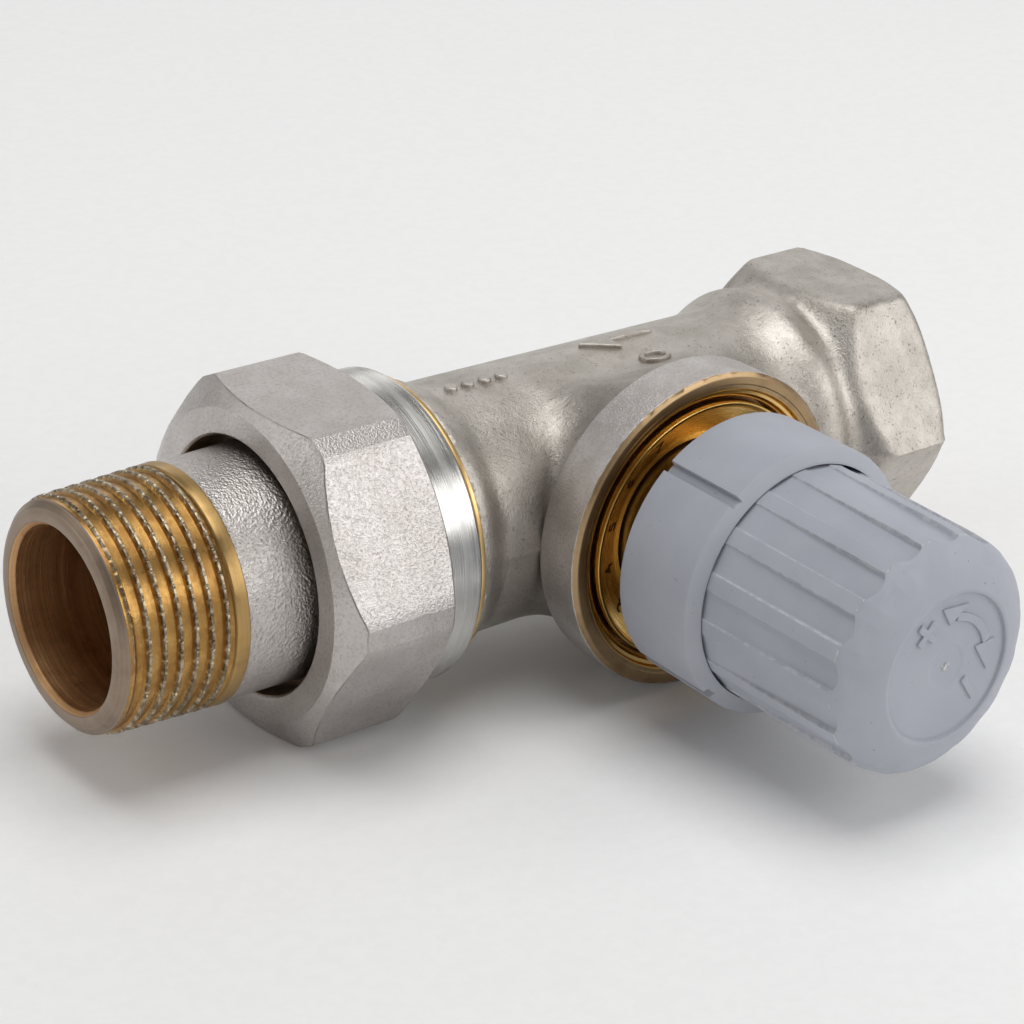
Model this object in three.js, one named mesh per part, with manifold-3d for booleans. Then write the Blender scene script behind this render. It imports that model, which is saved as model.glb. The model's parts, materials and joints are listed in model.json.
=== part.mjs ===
// Straight radiator valve, DN 20, with presetting and a screw-down protective cap.
// Millimetres, +Z up. The pipe runs along X and the boss with the cap points along -Y.
// The origin is the centre of the inlet mouth. All `along` values of the pipe parts are measured from
// the crossing of the pipe axis and the boss axis, and those of the boss parts outwards from it.
import * as THREE from 'three';
import { mergeVertices } from 'three/addons/utils/BufferGeometryUtils.js';
import Module from 'manifold-3d';

const wasm = await Module();
wasm.setup();

// ---- driving dimensions -----------------------------------------------------------------------
const GAP = 0.3; // clearance left between neighbouring pieces
const FINE = 40; // sides of the large round shapes
const COARSE = 24; // sides of the middling round shapes
const SMALL = 16; // sides of the small round shapes

const INLET_END = 40.8; // crossing of the axes to the inlet face
const TAIL_END = -69.2; // crossing of the axes to the end of the tailpiece

const TUBE_RADIUS = 14; // forged tube of the body
const SOCKET_RADIUS = 12.2; // Rp 3/4 inlet socket
const SOCKET_DEPTH = 15;
const INLET_FLATS = 31.6; // across the flats of the inlet hexagon
const HEX_START = 29.4;
const UNION_THREAD_RADIUS = 15.6; // mean radius of the G 1 union thread
const UNION_FACE = -36.5; // where the body's union end stops

const BOSS_RADIUS = 18.5;
const BOSS_RIM = 20.5;
const COUNTERBORE_RADIUS = 15.35;
const INSERT_BORE_RADIUS = 14.3;
const CHAMBER_RADIUS = 11.6;
const SEAT_LEVEL = 3;
const SEAT_RADIUS = 7;
const STROKE = 2.4; // lift of the cone

const NUT_FLATS = 36.8; // across the flats of the union nut
const NUT_TURN = -2.1; // degrees the nut has stopped past level
const NUT_FRONT = -47.2;
const NUT_REAR = -28.3;
const NUT_HOLE_RADIUS = 14.2;

const TAIL_BORE_RADIUS = 9.8;
const TAIL_BODY_RADIUS = 13;
const TAIL_THREAD_RADIUS = 13.22; // R 3/4
const TAIL_THREAD_LENGTH = 14.2;

const NECK_RADIUS = 9.8; // round neck that the cap or a sensor clips on
const NECK_TOP = 32;
const GROOVE_LEVEL = 26.6; // snap groove of the neck
const GROOVE_HEIGHT = 2;
const PIN_TOP = 37.4;

const COLLAR_RIM = 24.4;
const COLLAR_TOP = 35.7;
const COLLAR_RADIUS = 15.4;
const COLLAR_BORE_RADIUS = 13.8;
const SLOT_WIDTH = 1.5;
const SLOT_ANGLES = [129, -138]; // degrees from +X towards +Z

const GRIP_RADIUS = 13.5;
const GRIP_BORE_RADIUS = 11.4;
const GRIP_FOOT = 31.4;
const GRIP_END = 58.2;
const RIB_COUNT = 16;
const RIB_SHARE = 0.36; // part of each pitch that the rib takes
const RIB_PHASE = 5.5; // degrees from +X towards +Z to the middle of a rib
const PANEL_RADIUS = 12.85; // where a flat panel meets its rib

// ---- solids -----------------------------------------------------------------------------------
const degrees = THREE.MathUtils.degToRad;

function solidFrom(geometry) {
  const bare = geometry.index ? geometry.toNonIndexed() : geometry.clone();
  bare.deleteAttribute('normal');
  bare.deleteAttribute('uv');
  const welded = mergeVertices(bare, 1e-4);
  const vertProperties = new Float32Array(welded.attributes.position.array);
  const triVerts = new Uint32Array(welded.index.array);
  return new wasm.Manifold(new wasm.Mesh({ numProp: 3, vertProperties, triVerts }));
}

// A profile of [along, radius] points, turned about the axis. It runs towards higher `along` on the
// outside, and a ring's profile comes back on the inside and closes.
function lathe(points, sides) {
  const profile = points.map(([along, radius]) => new THREE.Vector2(radius, along));
  const closes = points[0][1] > 0 || points[points.length - 1][1] > 0;
  if (closes) profile.push(profile[0].clone());
  return new THREE.LatheGeometry(profile, sides);
}

const alongPipe = (geometry) => geometry.rotateZ(-Math.PI / 2);
const alongBoss = (geometry) => geometry.rotateX(Math.PI);

const pipeTurned = (points, sides = FINE) => solidFrom(alongPipe(lathe(points, sides)));
const bossTurned = (points, sides = COARSE) => solidFrom(alongBoss(lathe(points, sides)));

const rod = (from, to, radius) => [[from, 0], [from, radius], [to, radius], [to, 0]];
const ring = (from, to, inner, outer) => [[from, inner], [from, outer], [to, outer], [to, inner]];

function hexagonPrism(from, to, flats, turn) {
  const corner = flats / Math.sqrt(3);
  const prism = new THREE.CylinderGeometry(corner, corner, to - from, 6);
  prism.translate(0, (from + to) / 2, 0);
  return prism.rotateY(degrees(30 + turn));
}

// A hexagon whose corners are taken off by a turned profile, as on a machined bar.
const pipeHexagon = (from, to, flats, turn, corners) =>
  solidFrom(alongPipe(hexagonPrism(from, to, flats, turn))).intersect(pipeTurned(corners, FINE));

function box(low, high) {
  const size = high.map((value, axis) => value - low[axis]);
  const block = new THREE.BoxGeometry(...size);
  block.translate(...low.map((value, axis) => value + size[axis] / 2));
  return solidFrom(block);
}

function torus(level, radius, section) {
  const corners = 8;
  const circle = Array.from({ length: corners }, (_, step) => {
    const angle = (step / corners) * 2 * Math.PI;
    return [level + section * Math.sin(angle), radius + section * Math.cos(angle)];
  });
  return bossTurned(circle, SMALL + 4);
}

// A slot cut from outside towards the boss axis, at an angle from +X towards +Z.
function radialSlot(angle, width, from, to, inner, outer) {
  const block = new THREE.BoxGeometry(outer - inner, to - from, width);
  block.translate((inner + outer) / 2, -(from + to) / 2, 0);
  block.rotateY(-degrees(angle));
  return solidFrom(block);
}

// ---- valve body -------------------------------------------------------------------------------
function valveBody() {
  const tube = pipeTurned([
    [UNION_FACE, 0], [UNION_FACE, UNION_THREAD_RADIUS - 0.8], [UNION_FACE + 0.8, UNION_THREAD_RADIUS],
    [-28, UNION_THREAD_RADIUS], [-28, 16.9], [-27, 16.9], [-27, 16.2], [-25.8, 15.9], [-23, 14.5],
    [-18, 14.3], [-8, TUBE_RADIUS], [16, 13.8], [19, 14], [21.5, 15.1], [24, 15.6], [26.6, 15.4],
    [28.2, 14.2], [HEX_START + 1, 14.2], [HEX_START + 1, 0],
  ]);
  const boss = bossTurned([
    [3, 0], [3, 14], [6, 17.8], [BOSS_RIM - 0.6, BOSS_RADIUS], [BOSS_RIM, BOSS_RADIUS - 0.6],
    [BOSS_RIM, 0],
  ], FINE);
  const corner = INLET_FLATS / Math.sqrt(3);
  const hexagon = pipeHexagon(HEX_START, INLET_END, INLET_FLATS, 0, [
    [HEX_START, 0], [HEX_START, INLET_FLATS / 2 - 0.6], [HEX_START + 2, corner], [INLET_END - 2, corner],
    [INLET_END, INLET_FLATS / 2 - 0.5], [INLET_END, 0],
  ]);

  const inlet = pipeTurned([
    [13, 0], [13, 8.4], [16, 10.4], [INLET_END - SOCKET_DEPTH, 10.4],
    [INLET_END - SOCKET_DEPTH, SOCKET_RADIUS], [INLET_END - 1, SOCKET_RADIUS],
    [INLET_END + 0.2, SOCKET_RADIUS + 1.2], [INLET_END + 0.2, 0],
  ]);
  const underSeat = pipeTurned(rod(-6, 14, 5.5), COARSE).translate(0, 5, 0);
  const seatHole = bossTurned(rod(-5, SEAT_LEVEL + 1, SEAT_RADIUS - 1.6), COARSE);
  const seatMouth = bossTurned(rod(0.8, SEAT_LEVEL + 1, SEAT_RADIUS), COARSE);
  const chamber = bossTurned([
    [2, 0], [2, CHAMBER_RADIUS], [8, CHAMBER_RADIUS], [8, INSERT_BORE_RADIUS], [16.7, INSERT_BORE_RADIUS],
    [16.7, COUNTERBORE_RADIUS], [BOSS_RIM - 0.6, COUNTERBORE_RADIUS], [BOSS_RIM - 0.6, 16.3],
    [BOSS_RIM + 1, 16.3], [BOSS_RIM + 1, 0],
  ], FINE);
  const seatLip = bossTurned(ring(1.4, SEAT_LEVEL, SEAT_RADIUS, SEAT_RADIUS + 1.2), COARSE);
  const outletThroat = pipeTurned(rod(-21, -9.6, 5.8), COARSE).translate(0, -6, 0);
  const outlet = pipeTurned([
    [UNION_FACE - 1, 0], [UNION_FACE - 1, 10.8], [UNION_FACE, 10.8], [UNION_FACE + 1, TAIL_BORE_RADIUS],
    [-21, TAIL_BORE_RADIUS], [-17, 6], [-17, 0],
  ]);
  const notch = radialSlot(214.5, 0.9, BOSS_RIM - 0.7, BOSS_RIM + 1, 16, 17.3);

  return tube.add(boss).add(hexagon)
    .subtract(inlet).subtract(underSeat).subtract(chamber).subtract(seatHole).subtract(seatMouth)
    .subtract(outletThroat).subtract(outlet).subtract(notch)
    .add(seatLip);
}

// ---- union ------------------------------------------------------------------------------------
function unionNut() {
  const corner = NUT_FLATS / Math.sqrt(3);
  const hexagon = pipeHexagon(NUT_FRONT, -32.6, NUT_FLATS, NUT_TURN, [
    [NUT_FRONT, 0], [NUT_FRONT, 17.4], [NUT_FRONT + 2.4, corner - 0.2], [-34.4, corner - 0.2],
    [-32.6, 17.9], [-32.6, 0],
  ]);
  const collar = pipeTurned(rod(-34, NUT_REAR, 17.6));
  const lip = pipeTurned(rod(NUT_FRONT - 1, -40, NUT_HOLE_RADIUS));
  const thread = pipeTurned(rod(-42, NUT_REAR + 1, UNION_THREAD_RADIUS + GAP));
  return hexagon.add(collar).subtract(lip).subtract(thread);
}

function tailpiece() {
  const threadEnd = TAIL_END + TAIL_THREAD_LENGTH;
  return pipeTurned([
    [TAIL_END, TAIL_BORE_RADIUS], [TAIL_END, 12.2], [TAIL_END + 1.1, TAIL_THREAD_RADIUS],
    [threadEnd - 0.6, TAIL_THREAD_RADIUS], [threadEnd, TAIL_BODY_RADIUS - 0.4],
    [threadEnd + 0.6, TAIL_BODY_RADIUS], [-42.1, TAIL_BODY_RADIUS + 0.3], [-41.6, 15.1], [-38.5, 15.1],
    [-38.5, TAIL_BORE_RADIUS],
  ]);
}

const unionGasket = () => pipeTurned(ring(-38.2, -36.8, 11, 14.6), COARSE);

// ---- insert -----------------------------------------------------------------------------------
function bonnetRing() {
  const turned = bossTurned([
    [8.3, 10.75], [8.3, 13.6], [8.7, 14], [10, 14], [10, 12.3], [12, 12.3], [12, 14], [16.2, 14],
    [16.2, 10.75],
  ]);
  const spannerSlots = [0, 90, 180, 270].map((angle) => radialSlot(angle, 2, 14.6, 17, 9, 15));
  return spannerSlots.reduce((solid, slot) => solid.subtract(slot), turned);
}

function insertNeck() {
  const grooveTop = GROOVE_LEVEL + GROOVE_HEIGHT;
  return bossTurned([
    [12.3, 6.6], [12.3, 10.4], [13.2, 10.4], [13.2, 8.6], [15.2, 8.6], [15.2, 10.4], [16.7, 10.4],
    [16.7, NECK_RADIUS], [GROOVE_LEVEL, NECK_RADIUS], [GROOVE_LEVEL, 8.6], [grooveTop, 8.6],
    [grooveTop, NECK_RADIUS], [NECK_TOP - 1, NECK_RADIUS], [NECK_TOP, NECK_RADIUS - 1], [NECK_TOP, 5.2],
    [GROOVE_LEVEL + 0.1, 5.2], [GROOVE_LEVEL + 0.1, 2], [23.8, 2], [23.8, 6.6],
  ]);
}

function throttleCylinder() {
  const sleeve = bossTurned(ring(2.4, 12, 9.2, 10.4));
  const window = box([-12, -9.4, -7], [0, -4, 7]);
  return sleeve.subtract(window);
}

const settingRing = () => bossTurned([
  [17, NECK_RADIUS + GAP], [17, 15], [20.4, 15], [20.4, 14.5], [19.5, 14.2], [18.5, 11.2],
  [18.5, NECK_RADIUS + GAP],
], FINE);

// ---- stem -------------------------------------------------------------------------------------
const SEAL_LEVEL = SEAT_LEVEL + STROKE + 0.1; // underside of the rubber disc with the valve open

const pressurePin = () => bossTurned([
  [24.5, 0], [24.5, 1.5], [PIN_TOP - 0.5, 1.5], [PIN_TOP, 1], [PIN_TOP, 0],
], SMALL);
const spindle = () => bossTurned([
  [2, 0], [2, 1.3], [2.4, 1.7], [24.2, 1.7], [24.2, 0],
], SMALL);
const springCup = () => bossTurned([
  [22.3, 2], [22.3, 5.9], [23.5, 5.9], [23.5, 2],
], SMALL);
const valveCone = () => bossTurned([
  [SEAL_LEVEL + 2.1, 2], [SEAL_LEVEL + 2.1, 8.4], [SEAL_LEVEL + 3.4, 8.4], [SEAL_LEVEL + 3.9, 4],
  [SEAL_LEVEL + 5, 4], [SEAL_LEVEL + 5, 2],
]);
const coneSeal = () => bossTurned(ring(SEAL_LEVEL, SEAL_LEVEL + 1.8, 2, 8.4));
const coneWasher = () => bossTurned(ring(SEAL_LEVEL - 1.1, SEAL_LEVEL - GAP, 2, 5.5), SMALL);

function coneNut() {
  const hexagon = hexagonPrism(SEAL_LEVEL - 3, SEAL_LEVEL - 1.4, 6, 0);
  return solidFrom(alongBoss(hexagon)).subtract(bossTurned(rod(0, SEAL_LEVEL, 2), 16));
}

function returnSpring() {
  const wire = 0.55;
  const radius = 4.6;
  const turns = 4;
  const from = 14.6 + wire;
  const to = 22 - wire;
  class Coil extends THREE.Curve {
    getPoint(t, target = new THREE.Vector3()) {
      const angle = t * turns * 2 * Math.PI;
      const out = from + (to - from) * t;
      return target.set(radius * Math.cos(angle), -out, radius * Math.sin(angle));
    }
  }
  const section = new THREE.Shape();
  section.absarc(0, 0, wire, 0, 2 * Math.PI, false);
  const options = { steps: turns * 12, curveSegments: 3, bevelEnabled: false, extrudePath: new Coil() };
  return solidFrom(new THREE.ExtrudeGeometry(section, options));
}

// ---- seals and small turned pieces ------------------------------------------------------------
const guideBush = () => bossTurned(ring(12.6, 14.3, 2, 6.3), SMALL);
const glandWasher = () => bossTurned(ring(27, 27.6, 1.8, 4.9), SMALL);

function glandNut() {
  const shank = bossTurned(ring(29.8, NECK_TOP + 0.5, 1.8, 4.9), SMALL);
  const head = solidFrom(alongBoss(hexagonPrism(NECK_TOP + GAP, 34, 11, 0)));
  return shank.add(head).subtract(bossTurned(rod(29, 36, 1.8), 20));
}

// ---- cap --------------------------------------------------------------------------------------
function capCollar() {
  const turned = bossTurned([
    [COLLAR_RIM, COLLAR_BORE_RADIUS], [COLLAR_RIM, COLLAR_RADIUS - 0.2], [COLLAR_RIM + 0.2, COLLAR_RADIUS],
    [COLLAR_TOP - 0.7, COLLAR_RADIUS], [COLLAR_TOP, COLLAR_BORE_RADIUS + 0.2],
    [COLLAR_TOP, COLLAR_BORE_RADIUS], [28.3, COLLAR_BORE_RADIUS], [28.3, 11], [33.6, 11], [33.6, 10.2],
    [28.3, 10.2], [28.3, 8.9], [26.9, 8.9], [26.9, COLLAR_BORE_RADIUS],
  ], FINE);
  const slots = SLOT_ANGLES.map((angle) => radialSlot(angle, SLOT_WIDTH, COLLAR_RIM - 1, 33.4, 12, 17));
  return slots.reduce((solid, slot) => solid.subtract(slot), turned);
}

// The grip is turned, then flat panels are cut between its ribs.
function capHandwheel() {
  const outside = [
    [GRIP_FOOT, GRIP_RADIUS], [52.5, 13.3], [54, 13.1], [55.3, 12.6], [56.4, 11.5], [57.4, 9.9],
    [GRIP_END, 8.6], [GRIP_END - 0.4, 8.2], [GRIP_END - 0.4, 0],
  ];
  const inside = [
    [PIN_TOP + GAP, 0], [PIN_TOP + GAP, 3.2], [53.6, 3.4], [54.4, 5], [54.4, 8.4], [52.4, 10.6],
    [50, GRIP_BORE_RADIUS], [GRIP_FOOT, GRIP_BORE_RADIUS],
  ];
  const outline = [...outside, ...inside].map(([along, radius]) => new THREE.Vector2(radius, along));
  outline.push(outline[0].clone());
  const pitch = (2 * Math.PI) / RIB_COUNT;
  const halfRib = RIB_SHARE / 2;
  const offsets = [-halfRib, halfRib, halfRib + 0.04, 1 - halfRib - 0.04];
  const sides = RIB_COUNT * offsets.length;
  const geometry = new THREE.LatheGeometry(outline, sides);
  const position = geometry.attributes.position;
  for (let index = 0; index < position.count; index += 1) {
    const column = Math.floor(index / outline.length) % sides;
    const row = (index % outline.length) % (outline.length - 1);
    const radius = outline[row].x;
    const isPanel = column % offsets.length > 1 && row < outside.length - 3;
    const moved = isPanel ? Math.min(radius, PANEL_RADIUS) : radius;
    const ribs = Math.floor(column / offsets.length) + offsets[column % offsets.length];
    const angle = pitch * ribs + degrees(90 + RIB_PHASE);
    position.setX(index, moved * Math.sin(angle));
    position.setZ(index, moved * Math.cos(angle));
  }
  return solidFrom(alongBoss(geometry));
}

// ---- scene ------------------------------------------------------------------------------------
const FINISHES = {
  nickel: { color: 0xc9c4ba, roughness: 0.42, metalness: 1 },
  brass: { color: 0xb98a3c, roughness: 0.32, metalness: 1 },
  steel: { color: 0xbfc2c6, roughness: 0.3, metalness: 1 },
  rubber: { color: 0x1d1d1e, roughness: 0.8, metalness: 0 },
  plastic: { color: 0x9698a5, roughness: 0.62, metalness: 0 },
};

const valve = new THREE.Group();
valve.position.x = -INLET_END;

function place(name, solid, finish) {
  const data = solid.getMesh();
  const geometry = new THREE.BufferGeometry();
  geometry.setAttribute('position', new THREE.BufferAttribute(new Float32Array(data.vertProperties), 3));
  geometry.setIndex(new THREE.BufferAttribute(new Uint32Array(data.triVerts), 1));
  geometry.computeVertexNormals();
  const mesh = new THREE.Mesh(geometry, new THREE.MeshStandardMaterial(FINISHES[finish]));
  mesh.name = name;
  valve.add(mesh);
}

place('valve_body', valveBody(), 'nickel');
place('union_nut', unionNut(), 'nickel');
place('tailpiece', tailpiece(), 'nickel');
place('union_gasket', unionGasket(), 'rubber');

place('bonnet_ring', bonnetRing(), 'brass');
place('bonnet_o_ring', torus(11, 13.3, 0.65), 'rubber');
place('insert_neck', insertNeck(), 'brass');
place('insert_o_ring', torus(14.2, 9.6, 0.65), 'rubber');
place('throttle_cylinder', throttleCylinder(), 'brass');
place('setting_ring', settingRing(), 'brass');
place('guide_bush', guideBush(), 'brass');

place('gland_washer', glandWasher(), 'steel');
place('gland_seal', torus(28.7, 2.6, 0.75), 'rubber');
place('gland_nut', glandNut(), 'brass');

place('pressure_pin', pressurePin(), 'steel');
place('spindle', spindle(), 'brass');
place('spring_cup', springCup(), 'brass');
place('return_spring', returnSpring(), 'steel');
place('valve_cone', valveCone(), 'brass');
place('cone_seal', coneSeal(), 'rubber');
place('cone_washer', coneWasher(), 'brass');
place('cone_nut', coneNut(), 'brass');

place('cap_collar', capCollar(), 'plastic');
place('cap_handwheel', capHandwheel(), 'plastic');

export default valve;
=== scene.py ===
import json
import math

import bmesh
import bpy
import numpy as np
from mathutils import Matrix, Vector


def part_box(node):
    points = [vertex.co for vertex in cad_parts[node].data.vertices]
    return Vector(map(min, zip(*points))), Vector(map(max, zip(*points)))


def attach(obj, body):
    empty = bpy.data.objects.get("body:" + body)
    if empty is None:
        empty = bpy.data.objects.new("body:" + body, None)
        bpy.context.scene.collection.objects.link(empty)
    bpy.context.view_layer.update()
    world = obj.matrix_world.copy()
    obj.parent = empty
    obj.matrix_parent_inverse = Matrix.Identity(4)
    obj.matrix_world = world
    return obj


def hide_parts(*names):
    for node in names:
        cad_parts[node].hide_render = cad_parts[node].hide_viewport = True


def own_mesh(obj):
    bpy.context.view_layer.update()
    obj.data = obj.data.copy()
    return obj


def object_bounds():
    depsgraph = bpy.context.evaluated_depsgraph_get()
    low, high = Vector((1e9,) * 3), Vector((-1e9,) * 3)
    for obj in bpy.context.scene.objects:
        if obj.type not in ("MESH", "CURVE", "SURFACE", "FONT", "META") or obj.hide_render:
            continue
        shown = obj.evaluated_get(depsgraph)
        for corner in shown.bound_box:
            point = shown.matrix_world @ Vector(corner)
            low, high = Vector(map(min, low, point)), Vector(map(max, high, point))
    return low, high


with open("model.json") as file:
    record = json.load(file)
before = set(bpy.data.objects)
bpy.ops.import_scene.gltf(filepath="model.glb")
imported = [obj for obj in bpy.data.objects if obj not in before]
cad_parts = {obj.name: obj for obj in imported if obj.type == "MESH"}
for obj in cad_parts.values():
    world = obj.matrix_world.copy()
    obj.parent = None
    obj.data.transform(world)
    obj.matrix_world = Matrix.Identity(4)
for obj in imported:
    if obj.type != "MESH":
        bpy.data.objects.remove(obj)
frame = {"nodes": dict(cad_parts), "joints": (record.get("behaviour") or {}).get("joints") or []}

import openvdb
from mathutils import Matrix, Vector

# Straight radiator valve. Shapes are worked out in millimetres from the crossing of the pipe axis and
# the boss axis: `u` runs along the pipe (+X), `d` outwards along the boss (-Y) and `z` up.
MM = 0.001
CAD_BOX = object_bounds()
JOINTS = {joint["name"]: joint for joint in frame["joints"]}
CROSSING = JOINTS["handwheel_turn"]["pos_m"][0] / MM


def extent(node):
    """(lowest, highest) corner of a CAD node in millimetres: u, outwards and up."""
    low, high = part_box(node)
    u = (low[0] / MM - CROSSING, high[0] / MM - CROSSING)
    d = (-high[1] / MM, -low[1] / MM)
    z = (low[2] / MM, high[2] / MM)
    return u, d, z


BODY_U, BODY_D, BODY_Z = extent("valve_body")
TAIL_U = extent("tailpiece")[0]
NUT_U = extent("union_nut")[0]
COLLAR_D = extent("cap_collar")[1]
GRIP_D = extent("cap_handwheel")[1]
RING_D = extent("setting_ring")[1]

INLET_END = BODY_U[1]
UNION_FACE = BODY_U[0]
BOSS_RADIUS = BODY_Z[1]
BOSS_RIM = BODY_D[1]
COLLAR_RADIUS = extent("cap_collar")[2][1]
GRIP_RADIUS = 13.55
RIB_COUNT = 16
(LEFT, FRONT, BOTTOM), (RIGHT, BACK, TOP) = CAD_BOX
INSET = 0.01  # keeps carved surfaces inside the CAD box
LOW_CORNER = np.array([LEFT / MM - CROSSING, -BACK / MM, BOTTOM / MM]) + INSET
HIGH_CORNER = np.array([RIGHT / MM - CROSSING, -FRONT / MM, TOP / MM]) - INSET

# ---- mesh helpers -----------------------------------------------------------------------------


def to_world(points):
    """(u, d, z) in millimetres to the frame, in metres."""
    u, d, z = points[..., 0], points[..., 1], points[..., 2]
    return np.stack([(u + CROSSING) * MM, -d * MM, z * MM], axis=-1)


def build(name, vertices, faces, body, materials, sharp=32, indices=None):
    """A mesh object from points in millimetres, smooth but for its sharp edges, riding on a body."""
    mesh = bpy.data.meshes.new(name)
    mesh.from_pydata(to_world(vertices).tolist(), [], [tuple(f) for f in faces])
    if indices is not None:
        mesh.polygons.foreach_set("material_index", np.asarray(indices, np.int32))
    editing = bmesh.new()
    editing.from_mesh(mesh)
    bmesh.ops.remove_doubles(editing, verts=editing.verts, dist=2e-7)
    bmesh.ops.recalc_face_normals(editing, faces=editing.faces)
    editing.to_mesh(mesh)
    editing.free()
    mesh.shade_smooth()
    mesh.set_sharp_from_angle(angle=math.radians(sharp))
    obj = bpy.data.objects.new(name, mesh)
    bpy.context.scene.collection.objects.link(obj)
    for material in materials if isinstance(materials, (list, tuple)) else [materials]:
        mesh.materials.append(material)
    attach(obj, body)
    return obj


def fillet(profile, steps=4):
    """Rounds the corners of a profile of (along, radius[, fillet]) points; a third number is the fillet."""
    count = len(profile)
    closed = profile[0][1] > 0
    result = []
    for index, point in enumerate(profile):
        here = np.array(point[:2], float)
        size = point[2] if len(point) > 2 else 0
        if size == 0 or (not closed and index in (0, count - 1)):
            result.append(here)
            continue
        before = np.array(profile[index - 1][:2], float) - here
        after = np.array(profile[(index + 1) % count][:2], float) - here
        reach_before, reach_after = np.linalg.norm(before), np.linalg.norm(after)
        reach = min(size, 0.48 * reach_before, 0.48 * reach_after)
        start = here + before / reach_before * reach
        end = here + after / reach_after * reach
        for step in range(steps + 1):
            t = step / steps
            result.append((1 - t) ** 2 * start + 2 * t * (1 - t) * here + t * t * end)
    return np.array(result)


def refine(profile, longest):
    """Adds points so that no stretch of the profile is longer than `longest`."""
    closed = profile[0][1] > 0
    ends = np.roll(profile, -1, axis=0) if closed else profile[1:]
    starts = profile if closed else profile[:-1]
    result = []
    for start, end in zip(starts, ends):
        pieces = max(1, int(math.ceil(np.linalg.norm(end - start) / longest)))
        result.extend(start + (end - start) * step / pieces for step in range(pieces))
    if not closed:
        result.append(profile[-1])
    return np.array(result)


def turned(name, axis, profile, body, materials, columns=96, shape=None, angles=None, paint=None,
           sharp=32, helix=None):
    """Revolves a profile about the pipe or the boss axis. shape(along, radius, angle) returns the two
    moved coordinates, and paint(along, radius) the material index of a stretch. helix is (first row,
    last row, rows to a turn) for rows that climb a thread and meet the next turn's rows at the seam."""
    profile = np.asarray(profile, float)
    if angles is None:
        angles = np.arange(columns) * 2 * math.pi / columns
    columns = len(angles)
    rows = len(profile)
    along = np.repeat(profile[:, :1], columns, axis=1)
    radius = np.repeat(profile[:, 1:2], columns, axis=1)
    angle = np.repeat(angles[None, :], rows, axis=0)
    if shape:
        along, radius = shape(along, radius, angle)
    first, second = radius * np.cos(angle), radius * np.sin(angle)
    parts = (along, first, second) if axis == "pipe" else (first, along, second)
    vertices = np.stack(parts, axis=-1).reshape(-1, 3)
    closed = profile[0][1] > 1e-6

    def across_seam(row):
        if helix and helix[0] <= row <= helix[1]:
            return min(row + helix[2], helix[1])
        return row

    faces, indices = [], []
    for row in range(rows if closed else rows - 1):
        below = (row + 1) % rows
        index = paint(*((profile[row] + profile[below]) / 2)) if paint else 0
        for column in range(columns):
            beside = (column + 1) % columns
            seam = beside == 0
            far_row, far_below = (across_seam(row), across_seam(below)) if seam else (row, below)
            corners = [row * columns + column, far_row * columns + beside,
                       far_below * columns + beside, below * columns + column]
            if not closed and row == 0:
                corners = [0, corners[2], corners[3]]
            elif not closed and below == rows - 1:
                corners = [corners[0], corners[1], (rows - 1) * columns]
            faces.append(corners)
            indices.append(index)
    return build(name, vertices, faces, body, materials, sharp, indices)


def smooth_min(a, b, k):
    """The lesser of two fields, blended over a width k."""
    h = np.maximum(k - np.abs(a - b), 0) / k
    return np.minimum(a, b) - h * h * k * 0.25


def smooth_max(a, b, k):
    return -smooth_min(-a, -b, k)


def smooth_step(value, low, high):
    t = np.clip((value - low) / (high - low), 0, 1)
    return t * t * (3 - 2 * t)


def gradient(field, points, step=0.02):
    parts = []
    for axis in range(3):
        offset = np.zeros(3)
        offset[axis] = step
        parts.append((field(*(points + offset).T) - field(*(points - offset).T)) / (2 * step))
    return np.stack(parts, axis=-1)


def carved(name, field, low, high, voxel, body, materials, paint=None, sharp=40):
    """Meshes the surface where field(u, d, z) is zero, then pulls every vertex exactly onto it."""
    low, high = np.array(low, float), np.array(high, float)
    counts = np.ceil((high - low) / voxel).astype(int) + 1
    us, ds, zs = (low[axis] + voxel * np.arange(counts[axis]) for axis in range(3))
    values = np.empty(counts, np.float32)
    for index, u in enumerate(us):
        values[index] = field(u, ds[:, None], zs[None, :])
    grid = openvdb.FloatGrid(float(values.max()))
    grid.copyFromArray(values)
    points, triangles, quads = grid.convertToPolygons(isovalue=0.0, adaptivity=0.0)
    points = low + points.astype(float) * voxel
    for _ in range(4):
        slope = gradient(field, points)
        size = np.maximum((slope ** 2).sum(axis=1), 0.25)
        move = -field(*points.T)[:, None] * slope / size[:, None]
        points += np.clip(move, -voxel * 0.5, voxel * 0.5)
    points = np.clip(points, LOW_CORNER, HIGH_CORNER)
    faces = [tuple(f) for f in triangles] + [tuple(f) for f in quads]
    indices = None
    if paint:
        centres = np.array([points[list(f)].mean(axis=0) for f in faces])
        indices = paint(*centres.T)
    return build(name, points, faces, body, materials, sharp, indices)


# ---- materials --------------------------------------------------------------------------------


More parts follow.
